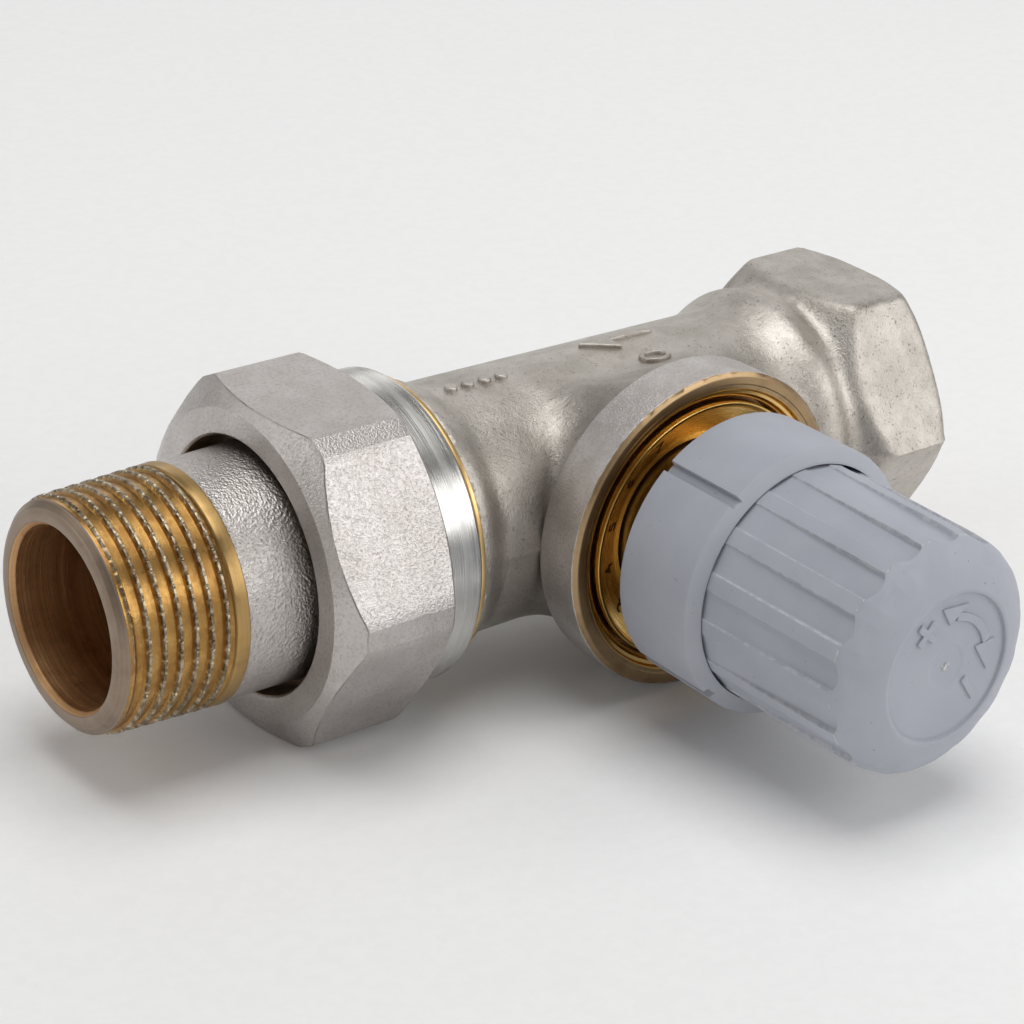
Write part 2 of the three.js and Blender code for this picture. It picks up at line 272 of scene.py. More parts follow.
class Shader:
    """A node material on one Principled shader, with patterns placed in millimetres."""

    def __init__(self, name, metallic=0.0, roughness=0.5):
        self.material = bpy.data.materials.new(name)
        self.material.use_nodes = True
        self.tree = self.material.node_tree
        self.surface = self.tree.nodes["Principled BSDF"]
        self.surface.inputs["Metallic"].default_value = metallic
        self.surface.inputs["Roughness"].default_value = roughness
        coordinates = self.tree.nodes.new("ShaderNodeTexCoord")
        self.place = self.node("ShaderNodeMapping", Vector=coordinates.outputs["Object"])
        self.place.inputs["Scale"].default_value = (1 / MM,) * 3
        self.place.inputs["Location"].default_value = (-CROSSING, 0, 0)
        self.millimetres = self.place.outputs["Vector"]
        self.height = None

    def node(self, kind, **inputs):
        node = self.tree.nodes.new(kind)
        for name, value in inputs.items():
            self.feed(node.inputs[name.replace("_", " ")], value)
        return node

    def feed(self, socket, value):
        if isinstance(value, bpy.types.NodeSocket):
            self.tree.links.new(value, socket)
        else:
            socket.default_value = value

    def maths(self, operation, *values, clamp=False):
        node = self.tree.nodes.new("ShaderNodeMath")
        node.operation = operation
        node.use_clamp = clamp
        for socket, value in zip(node.inputs, values):
            self.feed(socket, value)
        return node.outputs[0]

    def noise(self, size, detail=3.0, roughness=0.55, where=None):
        node = self.node("ShaderNodeTexNoise", Vector=where or self.millimetres)
        node.inputs["Scale"].default_value = 1 / size
        node.inputs["Detail"].default_value = detail
        node.inputs["Roughness"].default_value = roughness
        return node.outputs["Fac"]

    def cells(self, size):
        node = self.node("ShaderNodeTexVoronoi", Vector=self.millimetres)
        node.feature = "SMOOTH_F1"
        node.inputs["Scale"].default_value = 1 / size
        return node.outputs["Distance"]

    def axis(self, name):
        split = self.node("ShaderNodeSeparateXYZ", Vector=self.millimetres)
        return split.outputs[name]

    def pipe_radius(self):
        split = self.node("ShaderNodeSeparateXYZ", Vector=self.millimetres)
        return self.hypotenuse(split.outputs["Y"], split.outputs["Z"])

    def boss_radius(self):
        split = self.node("ShaderNodeSeparateXYZ", Vector=self.millimetres)
        return self.hypotenuse(split.outputs["X"], split.outputs["Z"])

    def hypotenuse(self, a, b):
        squares = self.maths("ADD", self.maths("MULTIPLY", a, a), self.maths("MULTIPLY", b, b))
        return self.maths("SQRT", squares)

    def spread(self, value, low, high, to_low=0.0, to_high=1.0):
        node = self.node("ShaderNodeMapRange", Value=value)
        node.interpolation_type = "SMOOTHSTEP"
        limits = {"From Min": low, "From Max": high, "To Min": to_low, "To Max": to_high}
        for name, number in limits.items():
            node.inputs[name].default_value = number
        return node.outputs["Result"]

    def mix(self, factor, first, second):
        node = self.tree.nodes.new("ShaderNodeMix")
        node.data_type = "RGBA"
        self.feed(node.inputs[0], factor)
        for socket, colour in ((node.inputs[6], first), (node.inputs[7], second)):
            self.feed(socket, colour if isinstance(colour, bpy.types.NodeSocket) else (*colour, 1.0))
        return node.outputs[2]

    def colour(self, value):
        self.feed(self.surface.inputs["Base Color"], value)

    def roughness(self, value):
        self.feed(self.surface.inputs["Roughness"], value)

    def bump(self, height, depth):
        """Adds a relief of `depth` millimetres."""
        node = self.node("ShaderNodeBump", Height=height)
        node.inputs["Strength"].default_value = 1.0
        node.inputs["Distance"].default_value = depth * MM
        if self.height is not None:
            self.tree.links.new(self.height, node.inputs["Normal"])
        self.height = node.outputs["Normal"]
        self.tree.links.new(self.height, self.surface.inputs["Normal"])


RIB_PHASE = math.radians(5.5)
RIB_HALF = 4.0
PANEL_END = 54.7

NICKEL_PALE = (0.62, 0.585, 0.565)
NICKEL_DARK = (0.35, 0.315, 0.295)
BRASS_PALE = (0.78, 0.55, 0.25)
BRASS_DARK = (0.36, 0.19, 0.06)
PLASTIC = (0.395, 0.412, 0.468)


def blasted_nickel(name, grain, depth, bare_bore=0.0, pale=NICKEL_PALE):
    """Nickel plate over a shot-blasted forging; inside the radius `bare_bore` the brass shows."""
    shader = Shader(name, metallic=1.0)
    coarse = shader.noise(grain, detail=4.0, roughness=0.62)
    fine = shader.cells(grain * 0.55)
    cloud = shader.noise(5.0, detail=5.0, roughness=0.6)
    tone = shader.mix(shader.spread(cloud, 0.3, 0.7), pale, (0.53, 0.495, 0.47))
    pits = shader.spread(coarse, 0.30, 0.52, 0.45, 0.0)
    specks = shader.spread(shader.noise(0.5, detail=3.0), 0.70, 0.78, 0.0, 0.6)
    plate = shader.mix(specks, shader.mix(pits, tone, NICKEL_DARK), (0.20, 0.18, 0.16))
    if bare_bore:
        edge = shader.maths("ADD", shader.pipe_radius(), shader.maths("MULTIPLY", coarse, 0.12))
        bare = shader.mix(shader.spread(cloud, 0.35, 0.65), (0.44, 0.33, 0.22), (0.26, 0.18, 0.11))
        plate = shader.mix(shader.spread(edge, bare_bore, bare_bore + 0.08), bare, plate)
    shader.colour(plate)
    shader.roughness(shader.spread(coarse, 0.3, 0.7, 0.44, 0.30))
    shader.bump(coarse, depth)
    shader.bump(fine, depth * 0.55)
    return shader.material


def forged_nickel(name):
    """The body's plate: dull and clouded, with dark specks and golden rubs, and painted shade darkening it
    beside the boss.
    """
    shader = Shader(name, metallic=1.0)
    grain = shader.noise(0.22, detail=3.0, roughness=0.65)
    cloud = shader.noise(5.0, detail=5.0, roughness=0.62)
    patch = shader.noise(1.8, detail=6.0, roughness=0.7)
    specks = shader.spread(shader.noise(0.30, detail=2.0), 0.57, 0.70)
    dirt = shader.maths("MULTIPLY", specks, shader.spread(patch, 0.41, 0.56))
    tone = shader.mix(shader.spread(cloud, 0.32, 0.68), (0.595, 0.555, 0.51), (0.455, 0.42, 0.375))
    tone = shader.mix(shader.spread(patch, 0.60, 0.74, 0.0, 0.4), tone, (0.50, 0.40, 0.27))
    # Painted shade: the plate is darkened round the foot of the boss, where it meets the tube.
    painted_shade_beside_boss = shader.spread(shader.boss_radius(), 18.5, 24.5, 0.62, 0.0)
    painted_shade_below_band = shader.spread(shader.axis("Y"), -13.0, -3.0, 1.0, 0.0)
    tone = shader.mix(shader.maths("MULTIPLY", painted_shade_beside_boss, painted_shade_below_band), tone, (0.26, 0.235, 0.205))
    plate = shader.mix(shader.maths("MULTIPLY", dirt, 0.7), tone, (0.15, 0.13, 0.11))
    shader.colour(plate)
    shader.roughness(shader.spread(patch, 0.3, 0.7, 0.31, 0.44))
    shader.bump(cloud, 0.11)
    shader.bump(patch, 0.13)
    shader.bump(grain, 0.06)
    return shader.material


def turned_metal(name, axis, pale, dark, roughness, pitch=0.16, depth=0.012, patina=0.5):
    """Lathe-turned metal: fine rings along the axis, with a cloudy patina."""
    shader = Shader(name, metallic=1.0)
    radius = shader.pipe_radius() if axis == "pipe" else shader.boss_radius()
    along = shader.axis("X" if axis == "pipe" else "Y")
    place = shader.node("ShaderNodeCombineXYZ", X=along, Y=radius)
    rings = shader.noise(pitch, detail=3.0, roughness=0.7, where=place.outputs["Vector"])
    broad = shader.noise(pitch * 5, detail=2.0, where=place.outputs["Vector"])
    cloud = shader.noise(4.0, detail=5.0, roughness=0.65)
    lines = shader.spread(rings, 0.35, 0.65)
    stain = shader.maths("MULTIPLY", shader.spread(cloud, 0.42, 0.7), patina)
    tone = shader.mix(shader.maths("MULTIPLY", lines, 0.25), pale, dark)
    shader.colour(shader.mix(stain, tone, dark))
    shader.roughness(shader.spread(broad, 0.3, 0.7, roughness, roughness + 0.12))
    shader.bump(rings, depth)
    shader.bump(broad, depth)
    return shader.material


def thread_brass(name, crest):
    """Bare brass whose crests carry a pale, torn rim."""
    shader = Shader(name, metallic=1.0)
    radius = shader.pipe_radius()
    along = shader.axis("X")
    level = shader.maths("ADD", radius, shader.maths("MULTIPLY", shader.maths("ADD", along, 55.0), -1 / 32))
    top = shader.spread(level, crest - 0.38, crest - 0.20)
    cloud = shader.noise(3.0, detail=6.0, roughness=0.68)
    place = shader.node("ShaderNodeCombineXYZ", X=along, Y=radius)
    rings = shader.noise(0.10, detail=3.0, roughness=0.7, where=place.outputs["Vector"])
    gold = shader.mix(shader.spread(cloud, 0.32, 0.66), (0.53, 0.315, 0.10), (0.33, 0.17, 0.05))
    gold = shader.mix(shader.spread(rings, 0.4, 0.62, 0.0, 0.35), gold, (0.30, 0.16, 0.05))
    stain = shader.spread(shader.noise(0.7, detail=5.0, roughness=0.7), 0.60, 0.72, 0.0, 0.75)
    gold = shader.mix(stain, gold, (0.15, 0.075, 0.03))
    torn = shader.mix(shader.spread(shader.noise(0.8, detail=3.0), 0.38, 0.62), (0.46, 0.39, 0.28),
                      (0.19, 0.14, 0.085))
    shader.colour(shader.mix(top, gold, torn))
    shader.roughness(shader.spread(cloud, 0.3, 0.7, 0.25, 0.38))
    shader.bump(rings, 0.018)
    shader.bump(shader.noise(0.35, detail=3.0), 0.02)
    return shader.material


def cap_plastic(name, slot_floor=0.0, rib_edges=False):
    """Matt moulded plastic with fine grain, faint clouds and scuffs. Beyond the radius `slot_floor` is the
    collar's skin, and what lies below it is darkened as painted shade; `rib_edges` draws a pale burr along
    the grip's ribs."""
    shader = Shader(name, roughness=0.55)
    grain = shader.noise(0.12, detail=2.0)
    cloud = shader.noise(7.0, detail=4.0)
    scuff = shader.spread(shader.noise(1.2, detail=5.0, roughness=0.7), 0.62, 0.74, 0.0, 0.35)
    specks = shader.spread(shader.noise(0.45, detail=1.0), 0.76, 0.80, 0.0, 0.6)
    tone = shader.mix(shader.spread(cloud, 0.3, 0.7), PLASTIC, (0.425, 0.445, 0.50))
    tone = shader.mix(scuff, tone, (0.38, 0.39, 0.42))
    tone = shader.mix(specks, tone, (0.20, 0.19, 0.19))
    if slot_floor:
        on_collar = shader.spread(shader.axis("Y"), -COLLAR_D[1] + 0.6, -COLLAR_D[1] + 0.8)
        # Painted shade: the floors of the collar's slots, sunk below `slot_floor`, are darkened.
        painted_slot_shade = shader.spread(shader.boss_radius(), slot_floor, slot_floor + 0.15, 1.0, 0.0)
        outside = shader.spread(shader.boss_radius(), 14.1, 14.2)
        painted_slot_shade = shader.maths("MULTIPLY", shader.maths("MULTIPLY", painted_slot_shade, outside), on_collar)
        tone = shader.mix(shader.maths("MULTIPLY", painted_slot_shade, 0.35), tone, (0.20, 0.205, 0.215))
        lip = shader.spread(shader.axis("Y"), -COLLAR_D[1] + 0.70, -COLLAR_D[1] + 0.78, 0.22, 0.0)
        tone = shader.mix(lip, tone, (0.62, 0.63, 0.66))
    if rib_edges:
        angle = shader.maths("ARCTAN2", shader.axis("Z"), shader.axis("X"))
        turned_by = shader.maths("SUBTRACT", angle, RIB_PHASE)
        ribs = shader.maths("MULTIPLY", turned_by, RIB_COUNT / (2 * math.pi))
        offset = shader.maths("ABSOLUTE", shader.maths("SUBTRACT", ribs, shader.maths("ROUND", ribs)))
        edge = math.radians(RIB_HALF) * RIB_COUNT / (2 * math.pi)
        away = shader.maths("ABSOLUTE", shader.maths("SUBTRACT", offset, edge))
        ragged = shader.maths("MULTIPLY", shader.spread(shader.noise(0.9, detail=4.0), 0.40, 0.58), 0.55)
        line = shader.maths("MULTIPLY", shader.spread(away, 0.010, 0.022, 1.0, 0.0), ragged)
        panels = shader.spread(shader.axis("Y"), -PANEL_END - 0.3, -PANEL_END, 0.0, 1.0)
        tone = shader.mix(shader.maths("MULTIPLY", line, panels), tone, (0.60, 0.60, 0.61))
    shader.colour(tone)
    shader.roughness(shader.spread(grain, 0.3, 0.7, 0.50, 0.62))
    shader.bump(grain, 0.012)
    shader.bump(cloud, 0.05)
    shader.surface.inputs["Specular IOR Level"].default_value = 0.4
    return shader.material


def burr_plastic(name):
    """The pale, ragged witness line where the mould's inserts met."""
    shader = Shader(name, roughness=0.6)
    ragged = shader.spread(shader.noise(0.35, detail=4.0, roughness=0.7), 0.42, 0.56)
    shader.colour(shader.mix(ragged, (0.41, 0.425, 0.475), (0.68, 0.68, 0.66)))
    shader.roughness(shader.spread(ragged, 0.0, 1.0, 0.55, 0.7))
    shader.bump(ragged, 0.05)
    return shader.material


def rubber(name):
    shader = Shader(name, roughness=0.7)
    grain = shader.noise(0.2, detail=3.0)
    shader.colour(shader.mix(shader.spread(grain, 0.3, 0.7), (0.016, 0.016, 0.017), (0.035, 0.034, 0.034)))
    shader.roughness(shader.spread(grain, 0.3, 0.7, 0.62, 0.8))
    shader.bump(grain, 0.02)
    return shader.material


BODY_NICKEL = forged_nickel("body_nickel")
BOSS_NICKEL = blasted_nickel("boss_nickel", 0.30, 0.09, pale=(0.68, 0.65, 0.63))
NUT_NICKEL = blasted_nickel("nut_nickel", 0.36, 0.07, bare_bore=14.36)
CREASE_NICKEL = blasted_nickel("crease_nickel", 0.25, 0.10, pale=(0.24, 0.22, 0.20))
TAIL_NICKEL = blasted_nickel("tail_nickel", 0.50, 0.13)
COLLAR_NICKEL = turned_metal("collar_nickel", "pipe", (0.66, 0.65, 0.62), (0.34, 0.325, 0.30), 0.2,
                             pitch=0.22, depth=0.03, patina=0.15)
PIPE_BRASS = turned_metal("pipe_brass", "pipe", BRASS_PALE, BRASS_DARK, 0.28)
BORE_BRASS = turned_metal("bore_brass", "pipe", (0.66, 0.40, 0.20), (0.36, 0.19, 0.08), 0.40, depth=0.03)
RIM_BRASS = turned_metal("rim_brass", "boss", (0.40, 0.28, 0.155), (0.21, 0.13, 0.065), 0.27, pitch=0.12)
STEP_BRASS = turned_metal("step_brass", "boss", (0.85, 0.58, 0.22), (0.48, 0.28, 0.09), 0.2, patina=0.3)
BAND_BRASS = turned_metal("band_brass", "pipe", (0.47, 0.31, 0.125), (0.26, 0.155, 0.06), 0.28, patina=0.7)
RING_BRASS = turned_metal("ring_brass", "boss", (0.78, 0.54, 0.19), (0.40, 0.24, 0.07), 0.2, depth=0.006,
                          patina=0.45)
INNER_BRASS = turned_metal("inner_brass", "boss", BRASS_PALE, BRASS_DARK, 0.25, patina=0.2)
THREAD_BRASS = thread_brass("thread_brass", 13.22)
END_BRASS = turned_metal("end_brass", "pipe", (0.32, 0.25, 0.19), (0.19, 0.135, 0.095), 0.34, patina=0.5)
FIGURE_BRASS = turned_metal("figure_brass", "boss", (0.10, 0.06, 0.03), (0.05, 0.03, 0.02), 0.5)
STEEL = turned_metal("bright_steel", "boss", (0.75, 0.75, 0.74), (0.5, 0.5, 0.5), 0.16, patina=0.1)
CAP_PLASTIC = cap_plastic("cap_plastic")
COLLAR_PLASTIC = cap_plastic("collar_plastic", slot_floor=14.75)
BURR_PLASTIC = burr_plastic("burr_plastic")
GRIP_PLASTIC = cap_plastic("grip_plastic", rib_edges=True)
RUBBER = rubber("black_rubber")

# ---- valve body -------------------------------------------------------------------------------
HEX_FLAT = 15.8  # half across the flats of the inlet hexagon
SOCKET_RADIUS = 12.2
TAPPING_RADIUS = 13.3
BOSS_MOUTH_RADIUS = 15.6
BAND_FOOT = 14.3  # where the boss's blasted band steps in to the neck
PIPE_PITCH = 1.814  # R 3/4 and Rp 3/4
UNION_PITCH = 2.309  # G 1


def thread_crest(along, angle, pitch, crest=0.16, flank=0.3):
    """1 on the crest of a right-hand thread and 0 in its root; crest and flank are shares of a pitch."""
    phase = (along / pitch - angle / (2 * math.pi)) % 1.0
    return 1 - smooth_step(np.abs(phase - 0.5), crest / 2, crest / 2 + flank)


def bump_curve(value, centre, width):
    return np.exp(-((value - centre) / width) ** 2)


def hexagon(a, b, flat, edge):
    """Distance from a hexagonal bar with flats above and below, its edges rounded."""
    half, root = 0.5, math.sqrt(3) / 2
    first = np.abs(b)
    second = np.abs(b * half + a * root)
    third = np.abs(b * half - a * root)
    return smooth_max(smooth_max(first, second, edge), third, edge) - flat


def arrow_mark(u, d):
    """Distance in the (u, d) plane from an arrow that points along the flow, towards the tailpiece."""
    shaft = np.maximum(np.abs(d) - 0.6, np.abs(u - 3.0) - 3.2)
    head = np.maximum(np.abs(d) * 0.82 + (-u - 4.2) * 0.57, u)
    return np.minimum(shaft, head)


def forged_body(u, d, z):
    pipe = np.hypot(d, z)
    radius = 14.25 - 0.012 * (u + 20)
    radius = radius + 1.75 * bump_curve(u, 24.6, 3.3) + 1.5 * smooth_step(-u, 22.4, 26.4)
    tube = pipe - radius
    tube = smooth_max(tube, -26.9 - u, 0.3)
    tube = smooth_max(tube, u - 33, 0.5)

    mouth = np.hypot(u, z)
    boss = mouth - (BOSS_RADIUS - 2.0 + 0.03 * (d - BAND_FOOT))
    boss = smooth_max(boss, d - (BOSS_RIM - 1.4), 0.3)
    boss = smooth_max(boss, 5.2 - d, 3.0)
    shoulder = np.abs(z) - 13.6 - 0.33 * (d - 5.0)
    boss = smooth_max(boss, shoulder * 0.9, 0.35)
    web = np.hypot(np.maximum(np.abs(u) - 5, 0), z) - 13.2
    web = smooth_max(web, d - 11.0, 4.0)
    web = smooth_max(web, -d, 1.0)
    skin = smooth_min(tube, web, 3.0)
    skin = smooth_min(skin, boss, 1.6)

    bar = hexagon(d, z, HEX_FLAT, 0.85)
    bar = smooth_max(bar, (pipe - 15.0 - 1.05 * (u - 28.2)) * 0.69, 0.7)
    bar = smooth_max(bar, (pipe - 18.1 + 1.5 * (u - (INLET_END - 1.5))) * 0.555, 0.7)
    bar = smooth_max(bar, u - INLET_END + 0.2, 0.4)
    bar = smooth_max(bar, 27.5 - u, 0.6)
    skin = smooth_min(skin, bar, 1.8)

    upper = smooth_step(z, -0.12, 0.12)
    flash = 0.16 * bump_curve(z, 0.1, 0.45)
    skin = skin - 0.11 * upper - flash * smooth_step(np.abs(d) + np.abs(u) * 0.3, 8, 13)
    return skin


def raised_marks(u, d, z):
    """A flow arrow, four dots and an oval ring standing on top of the tube."""
    marks = arrow_mark(u - 2.6, d + 1.0)
    for place in (-20.5, -18.2, -15.9, -13.6):
        marks = np.minimum(marks, np.hypot(u - place, d - 0.5) - 0.75)
    marks = np.minimum(marks, np.abs(np.hypot((u - 4.2) * 0.8, d - 5.6) - 1.3) - 0.3)
    skin = forged_body(u, d, z)
    return smooth_max(smooth_max(marks, skin - 0.42, 0.25), -0.3 - skin, 0.1)


def hollow_body(u, d, z):
    """The forging with its passages, bore and tapping taken out."""
    pipe = np.hypot(d, z)
    mouth = np.hypot(u, z)
    socket = np.maximum(pipe - TAPPING_RADIUS, 25.6 - u)
    passage = np.maximum(pipe - 10.4, 16 - u)
    throat = np.maximum(pipe - 8.4, 13 - u)
    dip = np.maximum(np.maximum(np.hypot(d + 5, z) - 5.5, u - 18), -6 - u)
    seat = np.maximum(np.maximum(mouth - 7.0, d - 5), -5 - d)
    chamber = np.maximum(mouth - 11.6, 2 - d)
    lip = np.maximum(np.abs(mouth - 7.6) - 0.6, d - 3)
    chamber = np.maximum(chamber, -lip)
    bore = np.maximum(mouth - 14.3, 8 - d)
    counterbore = np.maximum(mouth - BOSS_MOUTH_RADIUS, 16.7 - d)
    outlet_throat = np.maximum(np.maximum(np.hypot(d - 6, z) - 5.8, u + 9.6), -24 - u)
    outlet = np.maximum(pipe - 10.0, u + 20.5)
    space = socket
    for part in (passage, throat, dip, seat, chamber, bore, counterbore, outlet_throat, outlet):
        space = smooth_min(space, part, 0.4)
    return smooth_max(forged_body(u, d, z), -space, 0.25)


def body_finish(u, d, z):
    """Material of each face: 0 forged plate, 1 bare machined inside."""
    inside = forged_body(u, d, z) < -0.45
    return np.where(inside, 1, 0)


def make_body():
    voxel = 0.5
    low, high = (-27, -20, -20), (INLET_END + 1.5, BOSS_RIM + 1.5, 20)
    body = carved("valve_body_forging", hollow_body, low, high, voxel, "valve",
                  [BODY_NICKEL, BORE_BRASS], paint=body_finish)
    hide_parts("valve_body")

    marks = carved("valve_body_marks", raised_marks, (-23, -6, 11.5), (11.5, 8.5, 15.8),
                   0.16, "valve", BODY_NICKEL)

    rim = fillet([
        (BAND_FOOT, BOSS_RADIUS - 2.6), (BAND_FOOT, BOSS_RADIUS - 0.42, 0.1),
        (BAND_FOOT + 0.2, BOSS_RADIUS - 0.22, 0.1),
        (BOSS_RIM - 0.42, BOSS_RADIUS - 0.03, 0.04), (BOSS_RIM - 0.34, BOSS_RADIUS - 0.12, 0.04),
        (BOSS_RIM - 0.04, BOSS_RADIUS - 0.62, 0.1), (BOSS_RIM - 0.05, 17.1, 0.05),
        (BOSS_RIM - 0.12, 17.0, 0.05), (BOSS_RIM - 0.12, 16.5, 0.06), (BOSS_RIM - 0.6, 16.25, 0.06),
        (BOSS_RIM - 0.62, 15.85, 0.06), (BOSS_RIM - 1.05, 15.6, 0.1), (BOSS_RIM - 1.1, 15.42, 0.05),
        (16.9, 15.38), (16.9, 15.75),
    ])
    boss_rim = turned("valve_body_boss_rim", "boss", rim, "valve",
                      [RIM_BRASS, BOSS_NICKEL, STEP_BRASS], columns=256,
                      shape=rim_wear, paint=rim_finish)

    shore = refine(fillet([
        (25.7, 10.6), (25.7, TAPPING_RADIUS - 0.05), (INLET_END - 0.15, TAPPING_RADIUS + 0.02),
        (INLET_END - 0.15, 14.9, 0.1), (INLET_END - 0.02, 14.8, 0.1),
        (INLET_END - 0.02, TAPPING_RADIUS + 0.1, 0.2),
        (INLET_END - 1.1, SOCKET_RADIUS + 0.1, 0.2), (27.6, SOCKET_RADIUS), (27.2, TAPPING_RADIUS - 0.4),
        (26.2, TAPPING_RADIUS - 0.4), (26.2, 10.6),
    ]), 0.3)

    def tapped(along, radius, angle):
        cut = (radius < SOCKET_RADIUS + 0.05) & (along > 27.5) & (along < INLET_END - 1.2)
        return along, radius + np.where(cut, 0.75 * (1 - thread_crest(along, angle, PIPE_PITCH)), 0)

    tapping = turned("valve_body_inlet_thread", "pipe", shore, "valve", THREAD_BRASS, columns=180,
                     shape=tapped)

    union = refine(fillet([
        (UNION_FACE, 10.2), (UNION_FACE, 14.2, 0.1), (UNION_FACE + 0.9, 15.1, 0.1), (-29.6, 15.55),
        (-29.4, 14.6), (-28.0, 14.6, 0.2), (-28.0, 16.85, 0.15), (-27.4, 16.85, 0.12), (-27.2, 15.9, 0.1),
        (-26.4, 15.6), (-26.4, 10.2),
    ]), 0.3)

    def union_thread(along, radius, angle):
        cut = (radius > 15.0) & (along > UNION_FACE + 0.8) & (along < -29.5)
        return along, radius - np.where(cut, 0.95 * (1 - thread_crest(along, angle, UNION_PITCH)), 0)

    thread = turned("valve_body_union_thread", "pipe", union, "valve", PIPE_BRASS, columns=180,
                    shape=union_thread)


def rim_wear(along, radius, angle):
    """A slightly torn outer edge where the plate was cut back by the tool."""
    torn = 0.05 * np.sin(angle * 37) * np.sin(angle * 11 + 1) + 0.03 * np.sin(angle * 83)
    edge = (np.abs(along - (BOSS_RIM - 0.38)) < 0.06) & (radius > BOSS_RADIUS - 0.2)
    return along + np.where(edge, torn, 0), radius


def rim_finish(along, radius):
    if radius > BOSS_RADIUS - 2.2 and along < BOSS_RIM - 0.38:
        return 1
    return 2 if radius < 16.6 else 0


# ---- union ------------------------------------------------------------------------------------
NUT_FLAT = 18.4
NUT_TURN = math.radians(-2.1)
NUT_FRONT = NUT_U[0]
NUT_REAR = NUT_U[1]
NUT_HOLE_RADIUS = 14.2
TAIL_END = TAIL_U[0]
TAIL_BORE_RADIUS = 9.85
THREAD_RADIUS = 13.22
NUT_BEVEL = 20.4  # from the axis to the bevels on the hexagon's edges


def nut_columns():
    """Angles round the nut, closest together at the hexagon's bevelled edges."""
    offsets = np.concatenate([
        np.linspace(-26.6, 26.6, 25), [-27.0, -26.8, 26.8, 27.0], np.linspace(27.3, 32.7, 7)])
    angles = [NUT_TURN + math.pi / 2 + math.radians(60 * side + offset)
              for side in range(6) for offset in offsets]
    return np.sort(np.array(angles) % (2 * math.pi))


def nut_outline(angle):
    """Radius of the bevelled hexagon at each angle."""
    flats = (angle - NUT_TURN - math.pi / 2 + math.pi / 6) % (math.pi / 3) - math.pi / 6
    edges = (angle - NUT_TURN - math.pi / 2) % (math.pi / 3) - math.pi / 6
    return smooth_min(NUT_FLAT / np.cos(flats), NUT_BEVEL / np.cos(edges), 0.08)


def make_nut():
    steps = np.linspace(0, 1, 8)[:, None]
    angles = nut_columns()
    outline = nut_outline(angles)[None, :]
    front_crease = NUT_FRONT + (outline - 17.4) / 1.5
    rear_crease = -32.7 - (outline - 17.9) / 1.8
    even = np.ones_like(outline)
    rough = 0.035 * np.sin(angles * 31 + 1) * np.sin(angles * 13)

    def stretch(from_along, from_radius, to_along, to_radius):
        return (from_along + (to_along - from_along) * steps) * even, \
               (from_radius + (to_radius - from_radius) * steps) * even

    parts = [
        stretch(-41.0, NUT_HOLE_RADIUS, NUT_FRONT + 0.5, NUT_HOLE_RADIUS),
        stretch(NUT_FRONT + 0.3, NUT_HOLE_RADIUS + 0.04, NUT_FRONT + 0.03, NUT_HOLE_RADIUS + 0.3),
        stretch(NUT_FRONT, NUT_HOLE_RADIUS + 0.5, NUT_FRONT, 17.1),
        stretch(NUT_FRONT + 0.02, 17.28, front_crease - 0.18, outline - 0.27),
        stretch(front_crease - 0.05 + rough, outline - 0.09, front_crease + 0.12 + rough, outline),
        stretch(front_crease + 0.4, outline, rear_crease - 0.4, outline),
        stretch(rear_crease - 0.15, outline - 0.02, rear_crease + 0.15, outline - 0.28),
        stretch(rear_crease + 0.4, outline - 0.72, -32.75, 18.0),
        stretch(-32.62, 17.8, -32.6, 17.0),
        stretch(-33.0, 16.95, -41.9, 16.95),
        stretch(-42.0, 16.7, -42.0, 15.2),
    ]
    along = np.concatenate([part[0] for part in parts])
    radius = np.concatenate([part[1] for part in parts])
    profile = np.stack([along[:, 0], radius[:, 0]], axis=1)

    def finish(row_along, row_radius):
        on_crease = abs(row_along - front_crease[0, 0]) < 0.13 and row_radius > outline[0, 0] - 0.15
        return 1 if on_crease else 0

    nut = turned("union_nut_forging", "pipe", profile, "nut", [NUT_NICKEL, CREASE_NICKEL], angles=angles,
                 shape=lambda *_: (along, radius), sharp=18, paint=finish)
    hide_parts("union_nut")

    bore = 15.9
    profile = refine(fillet([
        (-41.9, bore + 0.9), (-41.9, 17.0), (-34.0, 17.0), (-34.0, 17.55, 0.1),
        (NUT_REAR - 0.35, 17.6, 0.1),
        (NUT_REAR, 17.3, 0.15), (NUT_REAR, bore + 0.7, 0.1), (NUT_REAR - 0.8, bore), (-40.6, bore),
        (-40.8, bore + 0.9),
    ]), 0.35)

    def inner_thread(along, radius, angle):
        cut = (radius < bore + 0.05) & (along < NUT_REAR - 0.8)
        return along, radius + np.where(cut, 0.85 * (1 - thread_crest(along, angle, UNION_PITCH)), 0)

    collar = turned("union_nut_collar", "pipe", profile, "nut", [COLLAR_NICKEL, PIPE_BRASS], columns=192,
                    shape=inner_thread, paint=lambda along, radius: 0 if radius > 17.05 else 1)


